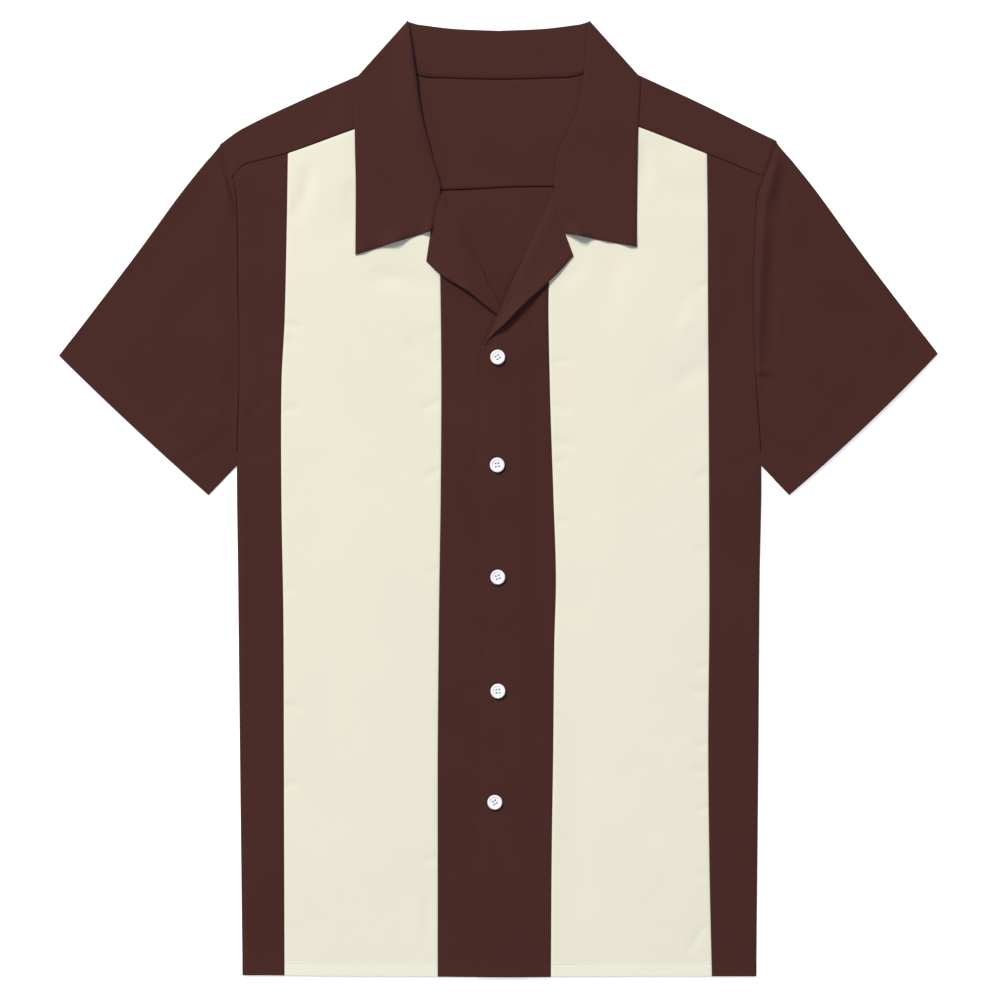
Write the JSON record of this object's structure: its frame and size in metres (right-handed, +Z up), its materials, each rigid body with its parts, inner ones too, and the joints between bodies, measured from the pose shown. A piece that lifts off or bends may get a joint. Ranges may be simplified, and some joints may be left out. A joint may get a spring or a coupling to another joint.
{
  "type": "bowling shirt",
  "caption": "Short-sleeved camp-collar bowling shirt with contrast stripe panels, buttoned up and laid flat; rests on its back.",
  "frame": {"origin": "under the middle of the laid-out shirt's outline, on the surface that it lies on", "axes": "+Y up the shirt from hem to collar, +X across to the wearer's left, +Z up from the surface out of the shirt's front"},
  "size_m": [0.754, 0.8199, 0.0092],
  "materials": {
    "brown_cloth": "matt dark brown cotton poplin",
    "cream_cloth": "matt cream cotton poplin",
    "button": "semi-gloss white resin"
  },
  "bodies": {
    "root": {"back": "brown_cloth", "yoke": "brown_cloth", "right_front_side": "brown_cloth", "right_front_stripe": "cream_cloth", "right_front_centre": "brown_cloth", "left_front_side": "brown_cloth", "left_front_stripe": "cream_cloth", "left_front_centre": "brown_cloth", "right_sleeve": "brown_cloth", "left_sleeve": "brown_cloth", "collar": "brown_cloth", "right_lapel": "brown_cloth", "left_lapel": "brown_cloth", "button_1": "button", "button_2": "button", "button_3": "button", "button_4": "button", "button_5": "button"}
  },
  "joints": []
}
